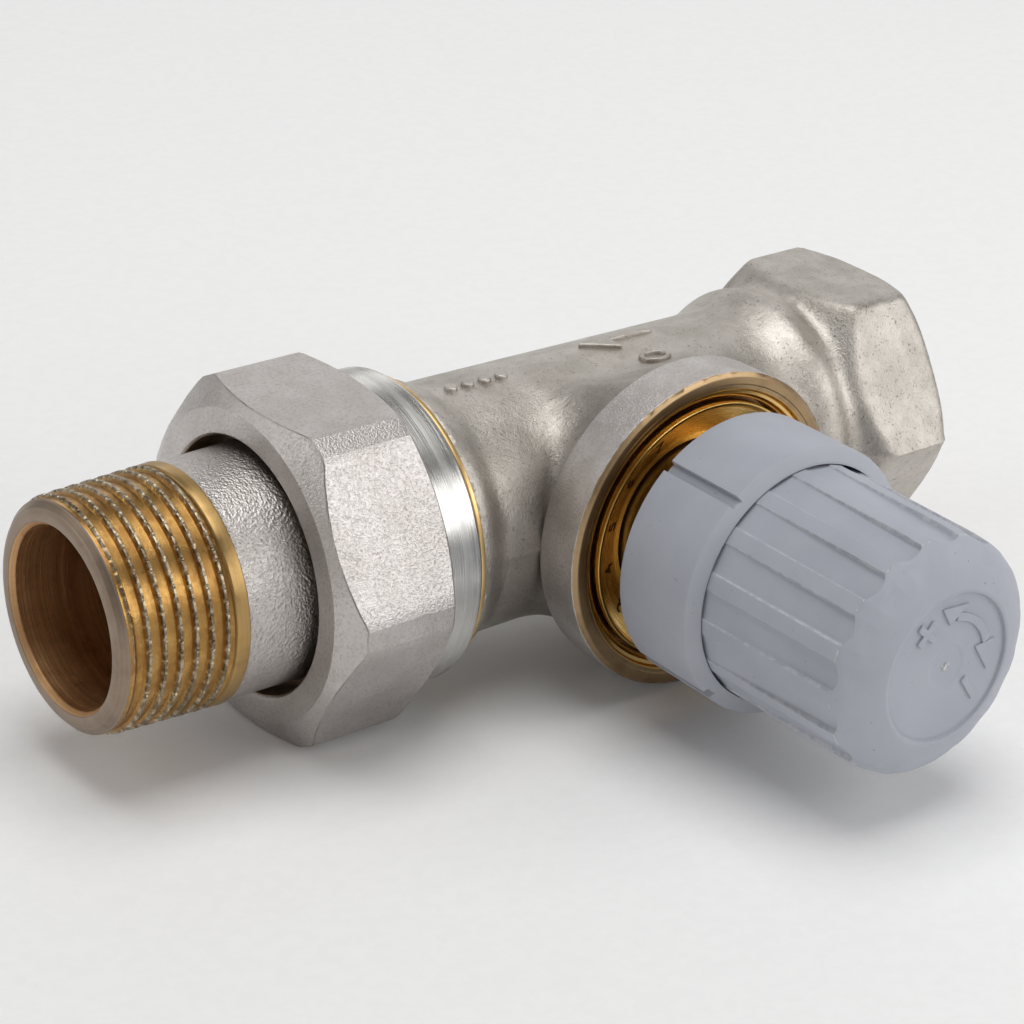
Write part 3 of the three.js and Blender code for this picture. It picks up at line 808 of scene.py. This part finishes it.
def make_tailpiece():
    end = TAIL_END
    shoulder = -54.5
    profile = fillet([
        (end, TAIL_BORE_RADIUS + 0.45, 0.1), (end, 11.15, 0.25), (end + 0.2, 11.75, 0.15),
        (end + 0.8, 12.3, 0.1), (end + 0.85, 12.52), (shoulder - 1.75, 12.75),
        (shoulder - 1.55, 13.12, 0.1), (shoulder - 0.12, 13.2, 0.1),
        (shoulder, 12.98, 0.05), (shoulder + 0.3, 12.96, 0.1), (-46, 13.12, 0.5),
        (-42.1, TAIL_BORE_RADIUS + 3.5, 0.2), (-41.6, 15.05, 0.15), (-38.6, 15.05, 0.2),
        (-38.6, TAIL_BORE_RADIUS + 0.3, 0.3), (-40, TAIL_BORE_RADIUS), (end + 0.6, TAIL_BORE_RADIUS, 0.1),
    ])
    first, last = end + 0.9, shoulder - 1.75
    # rows in one pitch, as shares of it, closest together at the crest
    steps = np.array([0, 0.14, 0.28, 0.34, 0.38, 0.41, 0.44, 0.47,
                      0.5, 0.53, 0.56, 0.59, 0.62, 0.66, 0.72, 0.86])
    turns = math.ceil((last - first) / PIPE_PITCH) + 2
    start = (math.floor(first / PIPE_PITCH) - 1) * PIPE_PITCH
    climb = [(start + (turn + step) * PIPE_PITCH, THREAD_RADIUS)
             for turn in range(turns) for step in steps]
    fine, begin = [], None
    for point, following in zip(profile, np.roll(profile, -1, axis=0)):
        if point[1] > 12.5 and point[0] < first + 0.01 and following[0] > first + 3:
            begin = len(fine)
            fine.extend(climb)
            continue
        pieces = max(1, math.ceil(np.linalg.norm(following - point) / 1.2))
        fine.extend(point + (following - point) * step / pieces for step in range(pieces))
    rows = (begin, begin + len(climb) - 1)

    def cut_thread(along, radius, angle):
        climbing = np.zeros(along.shape, bool)
        climbing[rows[0]:rows[1] + 1] = True
        climbed = np.clip(along + PIPE_PITCH * angle / (2 * math.pi), first, last)
        taper = (shoulder - climbed) / 32
        crest = thread_crest(climbed, angle, PIPE_PITCH, crest=0.15, flank=0.13)
        turn = np.floor(climbed / PIPE_PITCH - angle / (2 * math.pi))
        tooth = angle * 57 / (2 * math.pi) + turn * 0.37
        hardness = 0.5 + 0.5 * np.sin(np.floor(tooth) * 12.9898 + turn * 78.233)
        notch = smooth_step(np.abs(tooth % 1.0 - 0.5), 0.34, 0.47) * (0.3 + 0.7 * hardness)
        top = smooth_step(crest, 0.5, 0.95)
        fade = smooth_step(climbed, first + 0.1, first + 1.1) * smooth_step(-climbed, -last, -last + 0.3)
        ragged = (0.55 * (1 - crest) + 0.24 * notch * top) * fade + 0.35 * (1 - fade)
        lean = 0.12 * notch * top * fade
        return (np.where(climbing, climbed + lean, along),
                np.where(climbing, radius - taper - ragged, radius))

    def finish(along, radius):
        if radius < 12.0 and along < -38.7 and radius < TAIL_BORE_RADIUS + 0.25:
            return 2
        if along < end + 0.9 and radius < THREAD_RADIUS - 0.01:
            return 3
        if along > shoulder - 0.01:
            return 0
        return 4 if along > last - 0.01 and radius < THREAD_RADIUS - 0.01 else 1

    tail = turned("tailpiece_turned", "pipe", fine, "tail",
                  [TAIL_NICKEL, THREAD_BRASS, BORE_BRASS, END_BRASS, BAND_BRASS], columns=610,
                  shape=cut_thread, paint=finish, sharp=40, helix=(*rows, len(steps)))
    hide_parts("tailpiece")

    gasket = turned("union_gasket_ring", "pipe", fillet([
        (-38.2, 11.0, 0.2), (-38.2, 14.6, 0.2), (-36.8, 14.6, 0.2), (-36.8, 11.0, 0.2)]),
        "tail", RUBBER)
    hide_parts("union_gasket")


# ---- setting ring -----------------------------------------------------------------------------
SCALE_STEP = math.radians(24)
SIX = math.radians(142.5)
SCALE = "1234567"


def digit_solid(text, angle, radius, level, slope):
    """A digit standing out of the dial's cone, built as a solid in place of a stamped figure."""
    curve = bpy.data.curves.new("digit", "FONT")
    curve.body = text
    curve.size = 2.5
    curve.align_x = "CENTER"
    curve.align_y = "CENTER"
    curve.extrude = 0.12
    curve.offset = 0.012
    carrier = bpy.data.objects.new("digit", curve)
    bpy.context.scene.collection.objects.link(carrier)
    mesh = bpy.data.meshes.new_from_object(carrier.evaluated_get(bpy.context.evaluated_depsgraph_get()))
    bpy.data.objects.remove(carrier)
    flat = np.array([v.co for v in mesh.vertices])
    side, rise, out = flat[:, 0], flat[:, 1], flat[:, 2]
    reach = radius + rise
    height = level + slope * rise + out
    around = np.array([math.cos(angle), math.sin(angle)])
    across = np.array([math.sin(angle), -math.cos(angle)])
    points = np.stack([reach * around[0] + side * across[0], height,
                       reach * around[1] + side * across[1]], 1)
    faces = [tuple(p.vertices) for p in mesh.polygons]
    bpy.data.meshes.remove(mesh)
    return points, faces


def make_setting_ring():
    low, lip = RING_D
    profile = refine(fillet([
        (low, 10.15), (low, 14.9, 0.2), (lip - 0.45, 15.02, 0.05), (lip, 14.95, 0.08), (lip, 14.6, 0.05),
        (lip - 0.55, 14.35, 0.15), (17.9, 10.9, 0.3), (17.8, 10.15),
    ], steps=3), 0.7)
    ring = turned("setting_ring_dial", "boss", profile, "presetting", RING_BRASS, columns=192)
    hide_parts("setting_ring")
    slope = (lip - 0.55 - 17.9) / (14.35 - 10.9)
    radius = 12.1
    level = 17.9 + slope * (radius - 10.9)
    points, faces = [], []
    for index, text in enumerate(SCALE):
        angle = SIX + (5 - index) * SCALE_STEP
        solid, sides = digit_solid(text, angle, radius, level - 0.07, slope)
        faces += [tuple(corner + len(points) for corner in side) for side in sides]
        points += solid.tolist()
    figures = build("setting_ring_figures", np.array(points), faces, "presetting", FIGURE_BRASS)


# ---- cap --------------------------------------------------------------------------------------
SLOT_ANGLES = (math.radians(129), math.radians(-138))
COLLAR_OPENING = 13.64
DISC_RADIUS = 8.2


def make_collar():
    rim, top = COLLAR_D
    profile = refine(fillet([
        (rim, 13.9, 0.1), (rim, COLLAR_RADIUS - 0.05, 0.12), (top - 0.75, COLLAR_RADIUS, 0.1),
        (top - 0.05, COLLAR_OPENING + 0.25, 0.12), (top, COLLAR_OPENING, 0.06),
        (28.3, COLLAR_OPENING, 0.2), (28.3, 11), (33.6, 11, 0.2), (33.6, 10.25, 0.2), (28.3, 10.25),
        (28.3, 8.95, 0.2), (26.9, 8.95, 0.2), (26.9, 13.9, 0.3),
    ], steps=3), 1.0)
    half = 0.66 / COLLAR_RADIUS
    wall = 0.05 / COLLAR_RADIUS
    even = np.arange(144) * 2 * math.pi / 144
    extra = []
    for centre in SLOT_ANGLES:
        even = even[np.abs((even - centre + math.pi) % (2 * math.pi) - math.pi) > half + 0.01]
        extra += [centre - half - wall, centre - half, centre - half + wall, centre, centre + half - wall,
                  centre + half, centre + half + wall]
    angles = np.unique(np.concatenate([even, np.array(extra) % (2 * math.pi)]))

    def slotted(along, radius, angle):
        depth = np.zeros_like(radius)
        for centre in SLOT_ANGLES:
            offset = np.abs((angle - centre + math.pi) % (2 * math.pi) - math.pi)
            depth = np.where((offset < half - wall / 2) & (radius > 14.9) & (along < top - 0.6), 0.6, depth)
        return along, radius - depth

    collar = turned("cap_collar_ring", "boss", profile, "valve", COLLAR_PLASTIC, shape=slotted,
                    angles=angles, sharp=28)
    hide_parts("cap_collar")


PANEL_DEPTH = 13.25
STEP_END = 54.84


def make_handwheel():
    foot, end = GRIP_D
    wall = refine(fillet([
        (37.7, 0), (37.7, 3.2, 0.4), (53.6, 3.4, 0.3), (54.4, 5, 0.4), (54.4, 8.4, 0.4), (52.4, 10.6, 0.8),
        (50, 11.4, 0.6), (foot, 11.4, 0.3), (foot, GRIP_RADIUS, 0.3), (52.5, 13.42, 0.5),
        (PANEL_END, 13.26), (STEP_END, 13.24), (55.5, 13.08, 0.5), (56.35, 12.35, 0.8),
        (57.1, 11.2, 1.0), (57.75, 9.8, 0.8), (end, DISC_RADIUS + 0.45, 0.3),
        (end - 0.05, DISC_RADIUS + 0.12, 0.05), (end - 0.40, DISC_RADIUS, 0.05),
        (end - 0.36, DISC_RADIUS - 0.3, 0.1), (end - 0.36, 2.5, 0.2), (end - 0.46, 2.15, 0.25),
        (end - 0.46, 0),
    ]), 0.5)
    pitch = 2 * math.pi / RIB_COUNT
    rib = math.radians(RIB_HALF)
    offsets = np.concatenate([
        np.linspace(-rib + 0.006, rib - 0.006, 5), [rib, rib + 0.006, rib + 0.014],
        np.linspace(rib + 0.03, pitch - rib - 0.03, 9),
        [pitch - rib - 0.014, pitch - rib - 0.006, pitch - rib]])
    angles = np.sort(np.concatenate([RIB_PHASE + pitch * index + offsets for index in range(RIB_COUNT)]))

    def panelled(along, radius, angle):
        offset = (angle - RIB_PHASE + pitch / 2) % pitch - pitch / 2
        from_panel = pitch / 2 - np.abs(offset)
        on_panel = smooth_step(np.abs(offset), rib - 0.004, rib + 0.010)
        bow = on_panel * np.maximum(1 - (from_panel / (pitch / 2 - rib)) ** 2, 0)
        draft = 0.034 * np.maximum(along - 36, 0)
        flat = (PANEL_DEPTH - draft) / np.cos(np.minimum(from_panel, 0.2))
        skin = (radius > 12.0) & (along > foot + 0.2) & (along < PANEL_END + 0.05)
        panel = np.where(skin, radius + (np.minimum(radius, flat) - radius) * on_panel, radius)
        dome = (radius > 8.9) & (along > PANEL_END + 0.05)
        fall = 0.28 * bow * smooth_step(-along, -end + 0.3, -56.0) * np.where(dome, 1, 0)
        shift = 0.6 * bow * bump_curve(along, PANEL_END, 1.2) * np.where(radius > 12.0, 1, 0)
        return along + shift, panel - fall

    def burr(along, radius):
        return 1 if radius > 12 and PANEL_END < along < STEP_END else 0

    grip = turned("cap_handwheel_grip", "boss", wall, "handwheel", [GRIP_PLASTIC, BURR_PLASTIC],
                  shape=panelled, angles=angles, sharp=24, paint=burr)
    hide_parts("cap_handwheel")

    face = end - 0.36
    low, high = (-DISC_RADIUS, face - 0.3, -DISC_RADIUS), (DISC_RADIUS, face + 0.4, DISC_RADIUS)
    voxel = 0.09

    def raised(u, d, z):
        return smooth_max(smooth_max(cap_marks(u, z), d - face - 0.26, 0.1), face - 0.12 - d, 0.05)

    marks = carved("cap_handwheel_marks", raised, low, high, voxel, "handwheel", CAP_PLASTIC)

    def nub(u, d, z):
        radius = np.hypot(u, z)
        turn = np.arctan2(z, u)
        edge = 0.55 + 0.14 * np.sin(turn * 5) + 0.1 * np.sin(turn * 11 + 1)
        crown = face + 0.08 - 0.25 * radius + 0.05 * np.sin(turn * 7) * radius
        return smooth_max(smooth_max(radius - edge, d - crown, 0.08), face - 0.25 - d, 0.05)

    gate = carved("cap_handwheel_gate", nub, (-1.2, face - 0.4, -1.2), (1.2, face + 0.3, 1.2), 0.06,
                  "handwheel", BURR_PLASTIC)


def bar_shape(u, z, centre, direction, length, width):
    """Distance in the disc's plane from a straight bar."""
    ahead = (u - centre[0]) * math.cos(direction) + (z - centre[1]) * math.sin(direction)
    across = (z - centre[1]) * math.cos(direction) - (u - centre[0]) * math.sin(direction)
    return np.maximum(np.abs(ahead) - length / 2, np.abs(across) - width / 2)


def head_shape(u, z, tip, left, right):
    """Distance from a triangular arrowhead given by its corners, anticlockwise."""
    result = None
    corners = [np.array(corner) for corner in (tip, left, right)]
    for start, stop in zip(corners, corners[1:] + corners[:1]):
        side = (stop - start) / np.linalg.norm(stop - start)
        away = (u - start[0]) * side[1] - (z - start[1]) * side[0]
        result = away if result is None else np.maximum(result, away)
    return result


def cap_marks(u, z):
    """A plus, a minus and a two-headed curved arrow."""
    plus = np.minimum(bar_shape(u, z, (-3.4, 4.75), math.radians(48), 3.0, 0.78),
                      bar_shape(u, z, (-3.4, 4.75), math.radians(138), 3.0, 0.78))
    minus = bar_shape(u, z, (3.57, -3.34), math.radians(-55), 3.2, 0.78)
    arc_angle = np.arctan2(z, u)
    arc = np.maximum(np.abs(np.hypot(u, z) - 5.6) - 0.45,
                     (np.abs(arc_angle - math.radians(49)) - math.radians(33)) * 5.6)
    first = head_shape(u, z, (-1.48, 6.99), (-0.23, 4.9), (2.3, 6.75))
    second = head_shape(u, z, (5.99, -1.99), (6.7, 1.6), (3.85, 1.3))
    marks = np.minimum(np.minimum(plus, minus), arc)
    return np.minimum(marks, np.minimum(first, second))


# ---- insert and stem --------------------------------------------------------------------------
SEAL_LEVEL = 5.5
TURNED_PIECES = {
    "insert_neck": ("presetting", "brass", INNER_BRASS, [
        (12.3, 6.6, 0.2), (12.3, 10.35, 0.3), (13.2, 10.35, 0.1), (13.2, 8.6, 0.1), (15.2, 8.6, 0.1),
        (15.2, 10.35, 0.1), (16.7, 10.35, 0.3), (16.7, 9.75, 0.1), (26.6, 9.75, 0.15), (26.6, 8.6, 0.15),
        (28.6, 8.6, 0.15), (28.6, 9.75, 0.15), (31.1, 9.75, 0.3), (32, 8.8, 0.2), (32, 5.25, 0.2),
        (26.7, 5.25, 0.1), (26.7, 2.05, 0.1), (23.8, 2.05, 0.1), (23.8, 6.6, 0.2)]),
    "guide_bush": ("presetting", "brass", INNER_BRASS, [
        (12.6, 2.05, 0.2), (12.6, 6.25, 0.2), (14.3, 6.25, 0.2), (14.3, 2.05, 0.2)]),
    "gland_washer": ("presetting", "steel", STEEL, [
        (27, 1.85, 0.1), (27, 4.85, 0.15), (27.6, 4.85, 0.15), (27.6, 1.85, 0.1)]),
    "pressure_pin": ("stem", "steel", STEEL, [
        (24.5, 0), (24.5, 1.48, 0.1), (36.9, 1.48, 0.3), (37.4, 0.9, 0.5), (37.4, 0)]),
    "spindle": ("stem", "brass", INNER_BRASS, [
        (2, 0), (2, 1.3, 0.1), (2.4, 1.68, 0.2), (24.2, 1.68, 0.3), (24.2, 0)]),
    "spring_cup": ("stem", "brass", INNER_BRASS, [
        (22.3, 2.05, 0.1), (22.3, 5.8, 0.3), (23.5, 5.8, 0.3), (23.5, 2.05, 0.1)]),
    "valve_cone": ("stem", "brass", INNER_BRASS, [
        (SEAL_LEVEL + 2.1, 2.05), (SEAL_LEVEL + 2.1, 8.35, 0.2), (SEAL_LEVEL + 3.4, 8.35, 0.3),
        (SEAL_LEVEL + 3.9, 4, 0.4), (SEAL_LEVEL + 5, 3.95, 0.2), (SEAL_LEVEL + 5, 2.05)]),
    "cone_seal": ("stem", "rubber", RUBBER, [
        (SEAL_LEVEL, 2.05), (SEAL_LEVEL, 8.35, 0.3), (SEAL_LEVEL + 1.8, 8.35, 0.3),
        (SEAL_LEVEL + 1.8, 2.05)]),
    "cone_washer": ("stem", "brass", INNER_BRASS, [
        (SEAL_LEVEL - 1.1, 2.05), (SEAL_LEVEL - 1.1, 5.4, 0.2), (SEAL_LEVEL - 0.3, 5.4, 0.2),
        (SEAL_LEVEL - 0.3, 2.05)]),
}
SEAL_RINGS = {
    "bonnet_o_ring": ("valve", 11, 13.3, 0.63),
    "insert_o_ring": ("presetting", 14.2, 9.6, 0.63),
    "gland_seal": ("presetting", 28.7, 2.6, 0.73),
}
FRAME_FINISHES = {
    "bonnet_ring": INNER_BRASS,
    "throttle_cylinder": INNER_BRASS,
    "gland_nut": INNER_BRASS,
    "cone_nut": INNER_BRASS,
}


SPRING_WIRE = 0.55
SPRING_RADIUS = 4.6
SPRING_D = (14.6 + SPRING_WIRE, 22 - SPRING_WIRE)


def make_spring():
    """The coil that opens the valve."""
    turns, around, sides = 3.5, 36, 12
    count = int(turns * around)
    rows = []
    for step in range(count + 1):
        share = step / count
        climb = smooth_step(share, 0.03, 0.97) * 0.35 + share * 0.65
        angle = share * turns * 2 * math.pi
        level = SPRING_D[0] + (SPRING_D[1] - SPRING_D[0]) * climb
        for side in range(sides):
            turn = side * 2 * math.pi / sides
            reach = SPRING_RADIUS + SPRING_WIRE * math.cos(turn)
            height = level + SPRING_WIRE * math.sin(turn)
            rows.append((reach * math.cos(angle), height, reach * math.sin(angle)))
    faces = [tuple(range(sides)), tuple(reversed(range(count * sides, (count + 1) * sides)))]
    for step in range(count):
        for side in range(sides):
            beside = (side + 1) % sides
            faces.append((step * sides + side, (step + 1) * sides + side,
                          (step + 1) * sides + beside, step * sides + beside))
    spring = build("return_spring_coil", np.array(rows), faces, "stem", STEEL)
    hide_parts("return_spring")
    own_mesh(spring)


def make_insert():
    for node, (body, slot, material, profile) in TURNED_PIECES.items():
        piece = turned(node + "_turned", "boss", refine(fillet(profile), 1.0), body, material, columns=72)
        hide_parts(node)
    for node, (body, level, radius, section) in SEAL_RINGS.items():
        turns = [step * math.pi / 8 for step in range(16)]
        circle = [(level + section * math.sin(turn), radius + section * math.cos(turn)) for turn in turns]
        piece = turned(node + "_moulded", "boss", circle, body, RUBBER, columns=72)
        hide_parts(node)
    for node, material in FRAME_FINISHES.items():
        mesh = frame["nodes"][node].data
        mesh.materials.clear()
        mesh.materials.append(material)


make_body()
make_nut()
make_tailpiece()
make_setting_ring()
make_collar()
make_handwheel()
make_insert()
make_spring()

# ---- camera, light and floor ------------------------------------------------------------------
AZIMUTH = math.radians(-39.75)
ELEVATION = math.radians(25.7)
ROLL = math.radians(2.98)
DISTANCE = 359.27  # camera to the plane of the target, in millimetres
ASIDE = -3.56  # from the crossing to the target, to the camera's right
RISE = -5.58  # from the crossing to the target, upwards in the picture
LENS = 110.54
SENSOR = 36
SHIFT = (-0.0435, 0.0013)


def place_camera():
    away = Vector((math.sin(AZIMUTH) * math.cos(ELEVATION), -math.cos(AZIMUTH) * math.cos(ELEVATION),
                   math.sin(ELEVATION)))
    level = (-away).cross(Vector((0, 0, 1))).normalized()
    upright = level.cross(-away)
    right = level * math.cos(ROLL) + upright * math.sin(ROLL)
    up = upright * math.cos(ROLL) - level * math.sin(ROLL)
    position = (away * DISTANCE + right * ASIDE + up * RISE + Vector((CROSSING, 0, 0))) * MM
    data = bpy.data.cameras.new("camera")
    data.lens = LENS
    data.sensor_width = SENSOR
    data.shift_x, data.shift_y = SHIFT
    data.clip_start = 0.01
    camera = bpy.data.objects.new("camera", data)
    camera.matrix_world = Matrix.Translation(position) @ Matrix((right, up, away)).transposed().to_4x4()
    bpy.context.scene.collection.objects.link(camera)
    bpy.context.scene.camera = camera


def soft_box(name, azimuth, elevation, distance, size, power):
    """An area light that looks at the valve; angles in degrees, azimuth 0 in front of the cap."""
    a, e = math.radians(azimuth), math.radians(elevation)
    away = Vector((math.sin(a) * math.cos(e), -math.cos(a) * math.cos(e), math.sin(e)))
    data = bpy.data.lights.new(name, "AREA")
    data.shape = "RECTANGLE"
    data.size, data.size_y = size
    data.energy = power
    lamp = bpy.data.objects.new(name, data)
    lamp.location = away * distance + Vector((CROSSING * MM, 0, 0))
    lamp.rotation_euler = away.to_track_quat("Z", "Y").to_euler()
    bpy.context.scene.collection.objects.link(lamp)


def place_floor():
    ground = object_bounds()[0][2]
    mesh = bpy.data.meshes.new("floor")
    half = 3.0
    corners = [(x, y, ground) for x, y in ((-half, -half), (half, -half), (half, half), (-half, half))]
    mesh.from_pydata(corners, [], [(0, 1, 2, 3)])
    shader = Shader("floor_paper", roughness=0.9)
    grain = shader.noise(1.5, detail=3.0)
    shader.colour(shader.mix(shader.spread(grain, 0.3, 0.7), (0.93, 0.93, 0.93), (0.95, 0.95, 0.95)))
    mesh.materials.append(shader.material)
    floor = bpy.data.objects.new("floor", mesh)
    bpy.context.scene.collection.objects.link(floor)


def light_world():
    """A dim grey studio, darker overhead, in which the soft boxes do the work."""
    world = bpy.data.worlds.new("studio")
    world.use_nodes = True
    tree = world.node_tree
    background = tree.nodes["Background"]
    background.inputs["Color"].default_value = (1.0, 0.99, 0.975, 1)
    place = tree.nodes.new("ShaderNodeTexCoord")
    split = tree.nodes.new("ShaderNodeSeparateXYZ")
    tree.links.new(place.outputs["Generated"], split.inputs[0])
    ramp = tree.nodes.new("ShaderNodeMapRange")
    ramp.interpolation_type = "SMOOTHSTEP"
    tree.links.new(split.outputs["Z"], ramp.inputs["Value"])
    for name, number in (("From Min", 0.38), ("From Max", 0.62), ("To Min", 0.42), ("To Max", 0.16)):
        ramp.inputs[name].default_value = number
    tree.links.new(ramp.outputs["Result"], background.inputs["Strength"])
    bpy.context.scene.world = world


place_camera()
place_floor()
light_world()
soft_box("front", 36, 26, 0.6, (0.60, 0.30), 1.2)
soft_box("back", 142, 26, 0.7, (0.9, 0.32), 0.75)
soft_box("top", 0, 88, 0.9, (0.7, 0.7), 4.6)
soft_box("left", -118, 24, 0.7, (0.5, 0.36), 0.6)
bpy.context.scene.view_settings.view_transform = "Standard"
